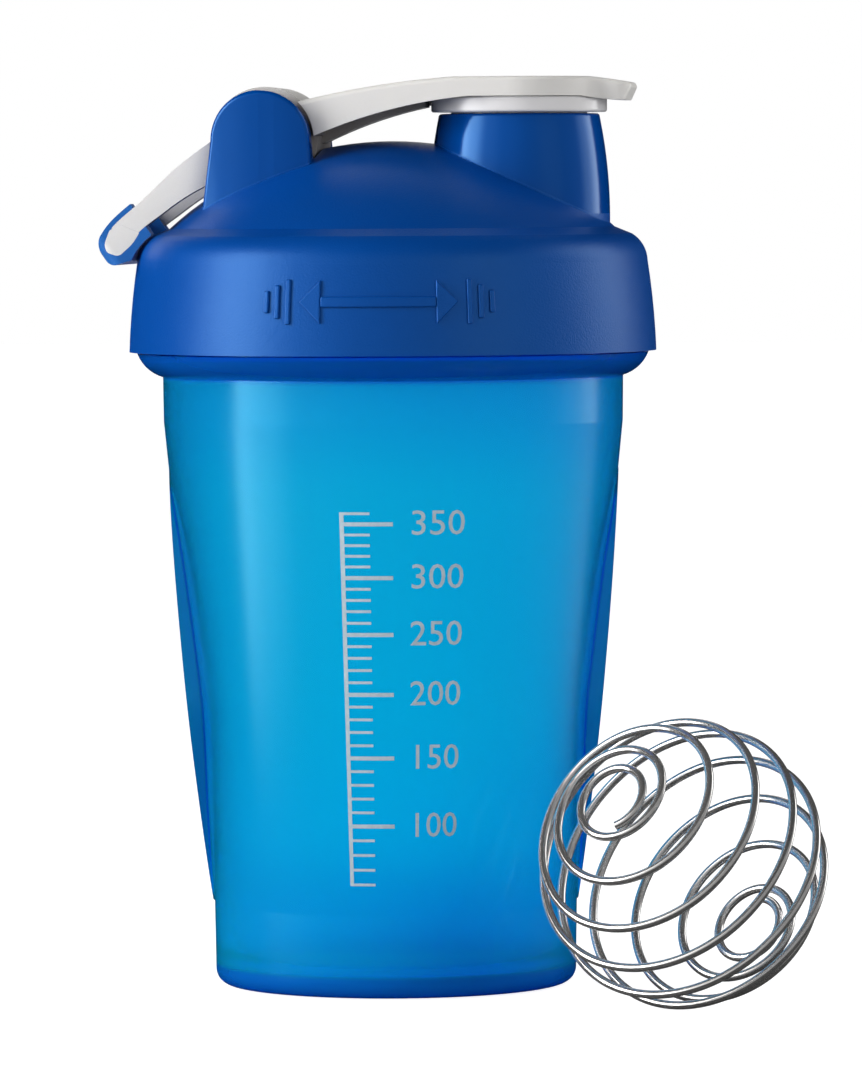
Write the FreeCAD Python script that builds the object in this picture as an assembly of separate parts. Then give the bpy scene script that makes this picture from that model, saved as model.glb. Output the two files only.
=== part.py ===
import FreeCAD, Part
import math
import os

from FreeCAD import Vector

# A protein shaker bottle: a tapered cup, a screw lid with a flip cap and a carry loop
# on one hinge line, and the wire ball that goes in the cup. Sizes are in millimetres.
# The cup stands on z = 0 with its axis on Z, and the spout is toward +X.

# Cup
cup_h = 139.6            # height of the rim
cup_foot_r = 34.6        # outside of the wall at the foot
cup_foot_h = 15.8        # height of the nearly straight band above the foot
cup_foot_draft = 0.2     # how much the foot band widens on its way up
cup_body_r = 44.0        # outside of the wall where the taper ends
cup_straight_h = 8.6     # straight wall between the taper and the collar
cup_wall = 2.0
neck_wall_extra = 0.2    # how much thicker the neck's wall is
cup_floor = 2.3          # thickness of the floor
foot_corner_r = 3.0
inner_corner_r = 5.0     # hollow between the floor and the wall
foot_ring_w = 4.0        # width of the ring that the cup stands on
foot_recess = 1.2        # rise of the underside within that ring
collar_h = 4.5           # height of the bead under the lid
collar_out = 5.0         # how far the bead stands out from the wall
collar_bow = 0.8         # outward bow of the bead's face
wall_draft = 0.1         # how much the straight wall widens on its way up
neck_h = 18.5            # from the top of the collar to the rim
neck_step = 0.6          # how far the neck stands out from the wall below it
cup_turn = 6.0           # angle of the grip pads from the line through the spout

# Grip pads on the sides of the cup
pad_top = 98.5           # height of a pad's upper end
pad_bottom = 16.0        # height of its lower end
pad_half_w = 12.8        # half of its width where it is widest
pad_proud = 0.9          # how far its middle stands out from the cup
pad_end_proud = 0.1      # the same at its ends
# The pad's outline, from its upper end down, as shares of its height and half width.
pad_shares = [(0.08, 0.52), (0.2, 0.80), (0.4, 0.96), (0.55, 0.99), (0.74, 0.72), (0.9, 0.40)]

# Screw thread of the neck and the lid
thread_starts = 2
thread_lead = 10.0       # rise in one turn
thread_h = 1.6           # height of a ridge
thread_root_w = 2.4      # width of a ridge at its root
thread_crest_w = 1.2     # width of a ridge at its crest
thread_turns = 1.05      # length of one ridge, in turns
thread_gap = 0.4         # between a crest and the wall that it faces
thread_base = 3.6        # height of the first ridge above the collar
thread_sink = 0.4        # how deep a ridge's root lies in its wall

# Seal ring between the rim and the lid
seal_t = 1.6
seal_gap = 0.2           # above and below the ring
seal_side_gap = 0.3      # inside and outside the ring

# Lid
lid_gap = 0.3            # between the collar and the skirt
skirt_wall = 3.9         # thickness of the skirt at its lower edge
skirt_draft = 1.6        # how much narrower the skirt is at its top
skirt_h = 17.1           # height of the skirt's outer face
skirt_bow = 0.25         # outward bow of that face
lid_wall = 2.2           # thickness of the dome
shoulder_in = 4.0        # from the skirt's inside to the dome's foot
shoulder_drop = 1.35     # fall of the shoulder from the dome to its rounded edge
shoulder_edge = 3.3      # width of the flat part of the shoulder
shoulder_bow = 0.75      # outward bow of its rounded edge
dome_foot_rise = 3.4     # from the seal's groove to the dome's foot
dome_rise = 16.5         # height of the dome above its foot
plug_gap = 0.5           # between the inner skirt and the neck
plug_wall = 2.0          # thickness of the inner skirt
plug_depth = 5.0         # how far the inner skirt reaches below the seal's groove

# Spout
spout_x = 24.5           # distance of the spout's axis from the cup's
spout_bore_r = 13.4
spout_wall = 1.9         # at the top
spout_draft = 2.0        # how much wider the spout is at the dome's foot
spout_bow = 0.6          # outward bow of its side
spout_rise = 5.1         # top of the spout above the top of the dome
spout_edge_r = 0.6

# Hinge line of the flip cap and the loop, and the ears that carry it
hinge_x = -23.2
hinge_rise = 0.2         # hinge line above the top of the dome
pin_r = 3.0
pin_fit = 0.06           # radial play of the pins in their holes
pin_reach = 2.6          # how far a pin goes into its ear
pin_end_gap = 0.5        # between a pin's end and the bottom of its socket
ear_r = 9.5
ear_t = 5.0              # thickness in the middle, where the ear's face bulges most
ear_back_t = 2.0         # thickness at its back edge
ear_front_t = 3.6        # thickness at its edge toward the spout
ear_flare = 1.7          # how much wider an ear gets toward the dome, at the back
ear_front_flare = 0.9    # the same toward the spout
ear_edge_r = 0.8
pocket_gap = 0.5         # between the barrel and the pocket in the dome
pocket_wall = 2.0

# Flip cap
barrel_r = 10.2
barrel_half = 10.8       # half of the barrel's length
arm_half_w = 16.0        # half of the arm's width
arm_clear = 0.6          # between the arm's end and the ears' round tops
arm_low_rise = 0.9       # arm's lower corner above the hinge line
arm_root = (2.0, 1.0)    # how far the arm's lower edge runs on into the barrel, and down
arm_drop = 6.4           # arm's top over the hinge line, below the head's top
arm_level = 10.8         # from the spout's axis to where the arm's top gets level
arm_bow = 1.0            # bow of the arm's top
arm_under_bow = 1.4      # bow of the arm's lower edge
arm_under_level = 8.1    # from the spout's axis to where the lower edge gets level
arm_wall = 1.7           # side walls of the hollow arm
head_r = 17.4
head_h = 3.7             # height of the head's side wall
head_plate = 2.0         # thickness of its top
head_slack = 0.1         # radial play between the head and the cover's boss
tip_past_head = 5.1      # how far the thumb tip stands out past the round head
tip_half_w = 9.0
tip_corner_r = 3.5
tip_bend_r = 5.0         # hollow bend between the head and the tip
tip_drop = 1.3           # fall of the top to the tip
tip_fall_inside = 3.4    # from the head's edge in to where that fall starts
tip_top_bow = 0.12
tip_under_bow = 0.2
tip_t = 3.2              # thickness of the tip's end
tip_slant = 1.6          # how far the tip's end leans in at the bottom
tip_neck_inside = 4.5    # from the head's edge in to where the tip's underside starts
rib_half_w = 4.0
rib_end = 17.6           # from the spout's axis to the rib's end
rib_drop = 2.0           # rib's far end below the head's lower edge
rib_near_drop = 0.6      # rib's near end below the hinge line
rib_bow = 0.7
cap_edge_r = 0.9

# Spout cover in the flip cap
cover_r = 16.8
cover_t = 3.05
cover_gap = 0.25         # between the cover and the spout's rim
cover_plug_depth = 5.0
cover_plug_fit = 0.3     # radial play in the spout's mouth
cover_plug_taper = 0.6
cover_plug_wall = 1.9
cover_overlap = 0.5      # how far the cover's disc, boss and plug run into each other
cover_boss_r = 15.0
cover_edge_r = 0.5

# Carry loop
loop_arm_t = 3.5
loop_gap = 0.4           # between an arm and the barrel
loop_ear_gap = 0.3       # between an arm and its ear
loop_eye_r = 7.5
loop_bar = 4.2           # depth of the crossbar, along the arms
loop_corner_r = 2.6      # rounding of the loop's outer corners
loop_rest_gap = 0.35     # between the resting loop and the lid
loop_past_lid = 3.1      # how far the loop's end stands out past the lid's side
loop_end_rise = 1.6      # loop's lowest point above the top of the lid's side
# Side outline of an arm, over the top and back below. A point is a share of the loop's
# reach out from the hinge line, and a share of its fall, upward.
loop_top = [(0.13, 0.195), (0.366, -0.05), (0.57, -0.27), (0.69, -0.43), (0.81, -0.583),
            (0.93, -0.73), (1.0, -0.857)]
loop_end = [(0.987, -0.907), (0.932, -0.99), (0.89, -1.0)]
loop_under = [(0.867, -0.972), (0.819, -0.861), (0.748, -0.76), (0.654, -0.662),
              (0.57, -0.574), (0.388, -0.417), (0.13, -0.26)]

# Soft grip round the loop's crossbar
grip_start = (0.825, -0.574)   # upper corner of its edge, as the loop's points are given
grip_slope = 55.3        # fall of that edge, in degrees
grip_top_t = 1.0
grip_under_t = 2.0
grip_inner_t = 1.0
grip_end_share = 0.4     # thickness at the loop's end, as a share of the two above it

# Whisk ball
ball_r = 27.1            # outside of the ball
ball_wire_r = 0.8
ball_turns = 7.68        # turns from one pole ring to the other
ball_ring_turn = 0.87    # length of each pole ring, in turns
ball_pole = 13.0         # angle of a pole ring from the ball's axis, in degrees
ball_blend = 0.34        # how soon the wire leaves a pole ring, in turns
ball_spans = 4           # pairs of arcs in one turn of the wire
ball_phase = -63.0       # where the wire starts round the axis, in degrees
ball_axis = Vector(-0.446, -0.721, 0.53)
ball_bearing = -37.3     # direction of the ball from the cup, in degrees
ball_gap = 7.8           # between the ball and the cup's wall

# Cuts run this far past the surface that they open, or are this long in all.
past = 1.0
cut_span = 60.0

# Heights and radii that follow
collar_top = cup_h - neck_h
collar_base = collar_top - collar_h
taper_top = collar_base - cup_straight_h
neck_r = cup_body_r + neck_step
neck_bore_r = neck_r - cup_wall - neck_wall_extra
tip_reach = head_r + tip_past_head
tip_top_start = head_r - tip_fall_inside
tip_neck = head_r - tip_neck_inside
groove_top = cup_h + seal_gap + seal_t + seal_gap
lid_bottom = collar_top + lid_gap
skirt_bore_r = neck_r + thread_h + thread_gap
skirt_r = skirt_bore_r + skirt_wall
skirt_top = lid_bottom + skirt_h
skirt_top_r = skirt_r - skirt_draft
plug_r = neck_bore_r - plug_gap
plug_bore_r = plug_r - plug_wall
dome_foot_r = skirt_bore_r - shoulder_in
dome_foot_z = groove_top + dome_foot_rise
dome_top = dome_foot_z + dome_rise
dome_sphere_r = (dome_foot_r ** 2 + dome_rise ** 2) / (2 * dome_rise)
hinge_z = dome_top + hinge_rise
spout_top = dome_top + spout_rise
loop_in = barrel_half + loop_gap
loop_out = loop_in + loop_arm_t
loop_reach = skirt_r + hinge_x + loop_past_lid
loop_fall = hinge_z - skirt_top - loop_end_rise
ear_in = loop_out + loop_ear_gap
ear_out = ear_in + ear_t
cover_bottom = spout_top + cover_gap
cover_top = cover_bottom + cover_t
head_top = cover_top + head_h
hole_r = pin_r + pin_fit


def point(p):
    return Vector(p[0], 0, p[1])


def outline(start, *steps):
    # A closed face in the XZ plane. A pair is a line's end, and a list holds the rest
    # of an arc's three points, or of a smooth curve's points.
    edges = []
    here = point(start)
    for step in steps + (start,):
        stops = [point(p) for p in step] if isinstance(step, list) else [point(step)]
        if stops[-1].distanceToPoint(here) < 1e-6:
            continue
        if len(stops) == 1:
            curve = Part.LineSegment(here, stops[0])
        elif len(stops) == 2:
            curve = Part.Arc(here, stops[0], stops[1])
        else:
            curve = Part.BSplineCurve()
            curve.interpolate([here] + stops)
        edges.append(curve.toShape())
        here = stops[-1]
    return Part.Face(Part.Wire(edges))


def bowed(a, b, bow):
    # The middle and the end of an arc from a to b that stands to the left of the chord.
    length = math.hypot(b[0] - a[0], b[1] - a[1])
    middle = ((a[0] + b[0]) / 2 - bow * (b[1] - a[1]) / length,
              (a[1] + b[1]) / 2 + bow * (b[0] - a[0]) / length)
    return [middle, b]


def turned(face):
    return face.revolve(Vector(), Vector(0, 0, 1), 360)


def across(face, y0, y1):
    # The XZ face drawn out along Y from y0 to y1.
    slab = face.extrude(Vector(0, y1 - y0, 0))
    slab.translate(Vector(0, y0, 0))
    return slab


def rod(x, z, r, y0, y1):
    return Part.makeCylinder(r, y1 - y0, Vector(x, y0, z), Vector(0, 1, 0))


def upright(x, y, r, z0, z1):
    return Part.makeCylinder(r, z1 - z0, Vector(x, y, z0))


def both_sides(solid):
    return [solid, solid.mirror(Vector(), Vector(0, 1, 0))]


def rounded(solid, radius, wanted):
    # The solid with the edges that the test picks rounded.
    edges = [edge for edge in solid.Edges if wanted(edge)]
    return solid.makeFillet(radius, edges)


def ridges(root_r, side, base):
    # The ridges of a screw thread that stand out from a wall of radius root_r.
    # side is 1 on the outside of a neck, and -1 on the inside of a lid.
    inner = root_r - side * thread_sink
    crest = root_r + side * thread_h
    half_root = thread_root_w / 2 + thread_sink * (thread_root_w - thread_crest_w) / 2 / thread_h
    half_crest = thread_crest_w / 2
    section = Part.makePolygon([Vector(inner, 0, base - half_root),
                                Vector(crest, 0, base - half_crest),
                                Vector(crest, 0, base + half_crest),
                                Vector(inner, 0, base + half_root),
                                Vector(inner, 0, base - half_root)])
    spine = Part.makeHelix(thread_lead, thread_lead * thread_turns, root_r)
    spine.translate(Vector(0, 0, base))
    ridge = Part.Wire(spine.Edges).makePipeShell([section], True, True)
    copies = []
    for start in range(thread_starts):
        copy = ridge.copy()
        copy.rotate(Vector(), Vector(0, 0, 1), 360 * start / thread_starts)
        copies.append(copy)
    return copies


def cup_radius(z):
    # The outside of the cup's wall at a height on the taper.
    low = cup_foot_r + cup_foot_draft
    return low + (cup_body_r - low) * (z - cup_foot_h) / (taper_top - cup_foot_h)


def dome_height(r):
    return dome_top - dome_sphere_r + math.sqrt(dome_sphere_r ** 2 - r ** 2)


def pad_solid():
    # A raised pad with a flat face across, wide in the middle and narrow at both ends.
    span = pad_top - pad_bottom
    right = [Vector(0, pad_half_w * w, pad_top - span * s) for s, w in pad_shares]
    left = [Vector(0, -p.y, p.z) for p in reversed(right)]
    rim = Part.BSplineCurve()
    rim.interpolate([Vector(0, 0, pad_top)] + right + [Vector(0, 0, pad_bottom)] + left,
                    PeriodicFlag=True)
    column = Part.Face(Part.Wire(rim.toShape())).extrude(Vector(2 * cup_body_r, 0, 0))
    low = (cup_radius(pad_bottom) + pad_end_proud, pad_bottom - past)
    high = (cup_radius(pad_top) + pad_end_proud, pad_top + past)
    middle_z = (low[1] + high[1]) / 2
    middle = (cup_radius(middle_z) + pad_proud, middle_z)
    front = outline((0, low[1]), low, [middle, high], (0, high[1]))
    return column.common(across(front, -2 * pad_half_w, 2 * pad_half_w))


def cup():
    foot_in = cup_foot_r - foot_corner_r - foot_ring_w
    corner = foot_corner_r * (1 - math.sqrt(0.5))
    collar_r = cup_body_r + collar_out
    wall_top = (cup_body_r + wall_draft, collar_base)
    outer = turned(outline(
        (0, foot_recess), (foot_in - foot_recess, foot_recess), (foot_in, 0),
        (cup_foot_r - foot_corner_r, 0),
        [(cup_foot_r - corner, corner), (cup_foot_r, foot_corner_r)],
        (cup_foot_r + cup_foot_draft, cup_foot_h),
        (cup_body_r, taper_top), wall_top,
        bowed(wall_top, (collar_r, collar_top), -collar_bow),
        (neck_r, collar_top), (neck_r, cup_h), (0, cup_h)))
    for angle in (0, 180):
        pad = pad_solid()
        pad.rotate(Vector(), Vector(0, 0, 1), angle + cup_turn)
        outer = outer.fuse(pad)
    for ridge in ridges(neck_r, 1, collar_top + thread_base):
        outer = outer.fuse(ridge)
    floor_z = foot_recess + cup_floor
    inner_foot_r = cup_foot_r - cup_wall
    bend = inner_corner_r * (1 - math.sqrt(0.5))
    inner = turned(outline(
        (0, floor_z), (inner_foot_r - inner_corner_r, floor_z),
        [(inner_foot_r - bend, floor_z + bend), (inner_foot_r, floor_z + inner_corner_r)],
        (inner_foot_r + cup_foot_draft, cup_foot_h),
        (cup_body_r - cup_wall, taper_top), (neck_bore_r, cup_h), (neck_bore_r, cup_h + past),
        (0, cup_h + past)))
    return outer.cut(inner)


def lid_seal_ring():
    base = cup_h + seal_gap
    inner = plug_r + seal_side_gap
    outer = skirt_bore_r - seal_side_gap
    return turned(outline((inner, base), (outer, base), (outer, base + seal_t),
                          (inner, base + seal_t)))


def lid_outside(grow=0.0):
    # The lid's outer shape as one full solid, grown by a clearance where one is given.
    edge = (dome_foot_r + shoulder_edge, dome_foot_z - shoulder_drop)
    top = (skirt_top_r, skirt_top)
    side = bowed((skirt_r, lid_bottom), top, -skirt_bow)
    corner = bowed(top, edge, -shoulder_bow)
    high = (dome_foot_r, dome_foot_z)
    half = dome_foot_r / 2
    face = outline((0, lid_bottom), (skirt_r, lid_bottom), side, corner, high,
                   [(half, dome_height(half)), (0, dome_top)])
    solid = turned(face)
    return solid.makeOffsetShape(grow, 0.01) if grow else solid


def lid_hollow():
    # The space inside the lid: the dome, the inner skirt's bore, the seal's groove and
    # the skirt's bore.
    low = lid_bottom - past
    plug_bottom = groove_top - plug_depth
    inside_r = dome_sphere_r - lid_wall
    centre_z = dome_top - dome_sphere_r
    half = plug_bore_r / 2
    dome_edge = (plug_bore_r, centre_z + math.sqrt(inside_r ** 2 - plug_bore_r ** 2))
    dome_half = (half, centre_z + math.sqrt(inside_r ** 2 - half ** 2))
    core = turned(outline((0, low), (plug_bore_r, low), dome_edge,
                          [dome_half, (0, centre_z + inside_r)]))
    groove = turned(outline((0, low), (skirt_bore_r, low), (skirt_bore_r, groove_top),
                            (plug_r, groove_top), (plug_r, plug_bottom), (0, plug_bottom)))
    return core, groove


def ear():
    # A plate with a round top and a bulging face, wider toward the dome, with a blind
    # hole for the pin.
    foot_z = groove_top
    back = hinge_x - ear_r
    front = hinge_x + ear_r
    drop = hinge_z - foot_z
    lean = drop / (hinge_z - dome_height(math.hypot(back, ear_out)))
    back_foot = back - ear_flare * lean
    front_foot = front + ear_front_flare * lean
    face = outline((back, hinge_z), [(hinge_x, hinge_z + ear_r), (front, hinge_z)],
                   (front_foot, foot_z), (back_foot, foot_z))
    plan = [Vector(back_foot, ear_in + ear_back_t, foot_z), Vector(hinge_x, ear_out, foot_z),
            Vector(front_foot, ear_in + ear_front_t, foot_z)]
    base = Part.makePolygon([plan[2], Vector(front_foot, ear_in, foot_z),
                             Vector(back_foot, ear_in, foot_z), plan[0]])
    bulge = Part.Face(Part.Wire([Part.Arc(*plan).toShape()] + base.Edges))
    plate = across(face, ear_in, ear_out).common(bulge.extrude(Vector(0, 0, drop + 2 * ear_r)))

    def on_outer_face(edge):
        box = edge.BoundBox
        return box.YMin > ear_in + ear_edge_r and box.ZMax > foot_z + ear_edge_r

    plate = rounded(plate, ear_edge_r, on_outer_face)
    socket = rod(hinge_x, hinge_z, hole_r, ear_in - past, ear_in + pin_reach + pin_end_gap)
    return plate.cut(socket)


def spout_outside():
    top_r = spout_bore_r + spout_wall
    foot = (top_r + spout_draft, dome_foot_z)
    top = (top_r, spout_top)
    solid = turned(outline((0, dome_foot_z), foot, bowed(foot, top, -spout_bow), (0, spout_top)))
    solid = rounded(solid, spout_edge_r, lambda edge: edge.BoundBox.ZMin > spout_top - 1e-3)
    solid.translate(Vector(spout_x, 0, 0))
    return solid


def lid():
    core, groove = lid_hollow()
    solid = lid_outside()
    for plate in both_sides(ear()):
        solid = solid.fuse(plate)
    solid = solid.fuse(spout_outside())
    pocket_r = barrel_r + pocket_gap
    trough = rod(hinge_x, hinge_z, pocket_r + pocket_wall, -ear_in - pocket_wall,
                 ear_in + pocket_wall)
    solid = solid.cut(core.cut(trough)).cut(groove)
    solid = solid.cut(rod(hinge_x, hinge_z, pocket_r, -ear_in, ear_in))
    solid = solid.cut(upright(spout_x, 0, spout_bore_r, groove_top, spout_top + past))
    base = lid_bottom + thread_base + thread_lead / thread_starts / 2 - lid_gap
    for ridge in ridges(skirt_bore_r, -1, base):
        solid = solid.fuse(ridge)
    return solid


def cap_plan():
    # The flip cap seen from above: the arm runs tangent into the round head, and the
    # head into the thumb tip.
    far = math.hypot(spout_x - hinge_x, arm_half_w)
    angle = math.pi - math.atan2(arm_half_w, spout_x - hinge_x) - math.acos(head_r / far)
    touch = (spout_x + head_r * math.cos(angle), head_r * math.sin(angle))
    bend_y = tip_half_w + tip_bend_r
    bend_x = math.sqrt((head_r + tip_bend_r) ** 2 - bend_y ** 2)
    share = head_r / (head_r + tip_bend_r)
    leave = (spout_x + bend_x * share, bend_y * share)
    half = (angle + math.atan2(leave[1], leave[0] - spout_x)) / 2
    crown = (spout_x + head_r * math.cos(half), head_r * math.sin(half))
    low = math.pi * 5 / 4 + math.atan2(bend_y, bend_x) / 2
    bend = (spout_x + bend_x + tip_bend_r * math.cos(low), bend_y + tip_bend_r * math.sin(low))
    end_x = spout_x + tip_reach
    cut = tip_corner_r * (1 - math.sqrt(0.5))
    tip = (end_x - tip_corner_r, tip_half_w)
    corner = (end_x - cut, tip_half_w - cut)
    side = (end_x, tip_half_w - tip_corner_r)
    low_z = hinge_z - cut_span / 2
    half_edges = []
    for sign in (1, -1):
        def at(p):
            return Vector(p[0], sign * p[1], low_z)
        half_edges.append([
            Part.LineSegment(at((hinge_x, arm_half_w)), at(touch)),
            Part.Arc(at(touch), at(crown), at(leave)),
            Part.Arc(at(leave), at(bend), at((spout_x + bend_x, tip_half_w))),
            Part.LineSegment(at((spout_x + bend_x, tip_half_w)), at(tip)),
            Part.Arc(at(tip), at(corner), at(side))])
    ends = [Part.LineSegment(Vector(end_x, side[1], low_z), Vector(end_x, -side[1], low_z)),
            Part.LineSegment(Vector(hinge_x, -arm_half_w, low_z),
                             Vector(hinge_x, arm_half_w, low_z))]
    edges = [curve.toShape() for curve in half_edges[0] + half_edges[1] + ends]
    return Part.Face(Part.Wire(Part.sortEdges(edges)[0])).extrude(Vector(0, 0, cut_span))


def arm_top(x):
    # The straight line under the bow of the arm's top.
    level_x = spout_x - arm_level
    return head_top - arm_drop * (level_x - x) / (level_x - hinge_x)


def cap_side():
    # The flip cap seen from the side.
    start_r = ear_r + arm_clear
    low_angle = math.asin(arm_low_rise / start_r)
    low_start = (hinge_x + start_r * math.cos(low_angle) - arm_root[0],
                 hinge_z + arm_low_rise - arm_root[1])
    high_start = (hinge_x, head_top - arm_drop)
    level = (spout_x - arm_level, head_top)
    neck = (spout_x + tip_top_start, head_top)
    end = (spout_x + tip_reach, head_top - tip_drop)
    under = (end[0] - tip_slant, end[1] - tip_t)
    head_low = (spout_x + tip_neck, cover_top)
    under_level = (spout_x - arm_under_level, cover_top)
    return across(outline(low_start, high_start, bowed(high_start, level, arm_bow), neck,
                          bowed(neck, end, tip_top_bow), under,
                          bowed(under, head_low, tip_under_bow),
                          under_level, bowed(under_level, low_start, -arm_under_bow)),
                  -head_r - past, head_r + past)


def flip_cap():
    reach = head_r + past
    body = cap_side().common(cap_plan()).removeSplitter()
    body = rounded(body, cap_edge_r, is_cap_top_edge)
    start_r = ear_r + arm_clear
    for gap in both_sides(rod(hinge_x, hinge_z, start_r, barrel_half, reach)):
        body = body.cut(gap)
    inside_x = hinge_x + barrel_r + arm_clear
    low_z = hinge_z - barrel_r
    hollow_top = (inside_x, arm_top(inside_x) - head_plate)
    hollow_level = (spout_x - arm_level, head_top - head_plate)
    hollow = across(outline((inside_x, low_z), hollow_top,
                            bowed(hollow_top, hollow_level, arm_bow),
                            (spout_x, head_top - head_plate), (spout_x, low_z)),
                    arm_wall - arm_half_w, arm_half_w - arm_wall)
    recess = upright(spout_x, 0, cover_boss_r + head_slack, hinge_z, head_top - head_plate)
    disc_room = upright(spout_x, 0, cover_r + head_slack, hinge_z, cover_top)
    body = body.cut(hollow).cut(recess).cut(disc_room)
    rib_near = (hinge_x + barrel_r, hinge_z - rib_near_drop)
    rib_far = (spout_x - rib_end, cover_top - rib_drop)
    rib = across(outline(rib_near, bowed(rib_near, rib_far, rib_bow),
                         (rib_far[0], head_top - head_plate),
                         (rib_near[0], arm_top(rib_near[0]) - head_plate / 2)),
                 -rib_half_w, rib_half_w)
    body = body.fuse(rib)
    body = body.fuse(rod(hinge_x, hinge_z, barrel_r, -barrel_half, barrel_half))
    pin_end = ear_in + pin_reach
    return body.fuse(rod(hinge_x, hinge_z, pin_r, -pin_end, pin_end)).removeSplitter()


def is_cap_top_edge(edge):
    # The edges round the flip cap's top. The lines across it, where its slope changes,
    # are left out.
    box = edge.BoundBox
    middle = edge.valueAt((edge.FirstParameter + edge.LastParameter) / 2)
    upright_line = box.XLength + box.YLength < 0.01
    at_tip = box.XMin > spout_x + tip_reach - 1e-3
    return middle.z > cover_top + head_h / 4 and not upright_line \
        and (abs(middle.y) > 0.1 or at_tip)


def spout_cover():
    fit_r = spout_bore_r - cover_plug_fit
    plug_bottom = cover_bottom - cover_plug_depth
    bore_r = fit_r - cover_plug_taper - cover_plug_wall
    disc = upright(spout_x, 0, cover_r, cover_bottom, cover_top)
    disc = rounded(disc, cover_edge_r, lambda edge: edge.BoundBox.ZLength < 1e-3)
    boss = upright(spout_x, 0, cover_boss_r, cover_top - cover_overlap, head_top - head_plate)
    plug = Part.makeCone(fit_r - cover_plug_taper, fit_r, cover_plug_depth + cover_overlap,
                         Vector(spout_x, 0, plug_bottom))
    well = upright(spout_x, 0, bore_r, plug_bottom - past, cover_bottom)
    return disc.fuse(boss).fuse(plug.cut(well))


def loop_point(share):
    return (hinge_x - share[0] * loop_reach, hinge_z + share[1] * loop_fall)


def grip_side(depth):
    # Everything beyond the grip's edge, or beyond a line that is deeper by a distance.
    slope = math.radians(grip_slope)
    down = Vector(math.cos(slope), 0, -math.sin(slope)) * cut_span
    out = Vector(-math.sin(slope), 0, -math.cos(slope))
    corner = point(loop_point(grip_start)) + out * depth
    ends = [corner - down, corner + down, corner + down + out * cut_span,
            corner - down + out * cut_span]
    face = Part.Face(Part.makePolygon(ends + ends[:1]))
    return across(face, -cut_span, cut_span)


def loop_length(top_t=0.0, under_t=0.0):
    # How far the loop's end, or the grip's, lies beyond the grip's edge.
    slope = math.radians(grip_slope)
    corner = loop_point(grip_start)
    ends = [loop_point(p) for p in loop_end]
    bare = max((corner[0] - p[0]) * math.sin(slope) + (corner[1] - p[1]) * math.cos(slope)
               for p in ends)
    end_t = (top_t + under_t) * grip_end_share
    return bare + end_t * math.sin(slope) + under_t * math.cos(slope)


def loop_outline(top_t=0.0, under_t=0.0):
    # Side outline of the loop's arms, thickened above and below for the grip.
    slope = math.radians(grip_slope)

    def moved(shares, out, up):
        points = [loop_point(p) for p in shares]
        return [(x - out, z + up) for x, z in points]

    top = moved(loop_top, top_t * math.cos(slope), top_t * math.sin(slope))
    under = moved(loop_under, -under_t * math.cos(slope), -under_t * math.sin(slope))
    ends = moved(loop_end, (top_t + under_t) * grip_end_share, -under_t)
    return outline(top[0], top[1:], ends, under[0], under[1:])


def loop_frame(face, gap_half_w, gap_depth, length):
    # Two arms and a crossbar with rounded outer corners: the side outline drawn across,
    # less the gap between the arms.
    block = Part.makeBox(cut_span, 2 * loop_out, cut_span,
                         Vector(length - cut_span, -loop_out, -cut_span / 2))
    block = rounded(block, loop_corner_r, lambda edge: edge.BoundBox.XMin > length - 1e-3
                    and edge.BoundBox.ZLength > 1)
    block.rotate(Vector(), Vector(0, 1, 0), 90 + grip_slope)
    block.translate(point(loop_point(grip_start)))
    solid = across(face, -cut_span / 2, cut_span / 2).common(block)
    gap = Part.makeBox(cut_span, 2 * gap_half_w, cut_span,
                       Vector(hinge_x - cut_span, -gap_half_w, hinge_z - cut_span / 2))
    return solid.cut(gap.cut(grip_side(gap_depth)))


def carry_loop():
    length = loop_length()
    frame = loop_frame(loop_outline(), loop_in, length - loop_bar, length)
    for eye in both_sides(rod(hinge_x, hinge_z, loop_eye_r, loop_in, loop_out)):
        frame = frame.fuse(eye)
    frame = frame.cut(rod(hinge_x, hinge_z, hole_r, -loop_out - past, loop_out + past))
    return frame.cut(lid_outside(loop_rest_gap))


def loop_grip(loop):
    face = loop_outline(grip_top_t, grip_under_t)
    depth = loop_length() - loop_bar - grip_inner_t
    sleeve = loop_frame(face, loop_in - grip_inner_t, depth,
                        loop_length(grip_top_t, grip_under_t))
    sleeve = sleeve.common(grip_side(0))
    return sleeve.cut(lid_outside(loop_rest_gap)).cut(loop)


def arc_pair(start, heading, end, end_heading):
    # Two arcs in space that leave start and reach end along the given directions, each
    # as its own start, corner and end.
    chord = end - start
    along = chord.dot(heading + end_heading)
    turn = 2 * (1 - heading.dot(end_heading))
    reach = (math.sqrt(along ** 2 + turn * chord.dot(chord)) - along) / turn
    corner = start + heading * reach
    next_corner = end - end_heading * reach
    middle = (corner + next_corner) * 0.5
    return [(start, corner, middle), (middle, next_corner, end)]


def wire_along(arcs, radius):
    # A round wire along a chain of tangent arcs: one ring face for each arc.
    start, corner, _ = arcs[0]
    ring = Part.makeCircle(radius, start, corner - start)
    faces = [Part.Face(Part.Wire(ring))]
    for start, corner, end in arcs:
        into = (corner - start).normalize()
        out = (end - corner).normalize()
        axis = into.cross(out)
        angle = math.atan2(axis.Length, into.dot(out))
        axis.normalize()
        bend_r = start.distanceToPoint(corner) / math.tan(angle / 2)
        centre = start + axis.cross(into) * bend_r
        faces.append(ring.revolve(centre, axis, math.degrees(angle)))
        ring = ring.copy()
        ring.rotate(centre, axis, math.degrees(angle))
    faces.append(Part.Face(Part.Wire(ring)))
    shell = Part.makeShell(faces)
    shell.sewShape()
    return Part.Solid(shell)


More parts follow.
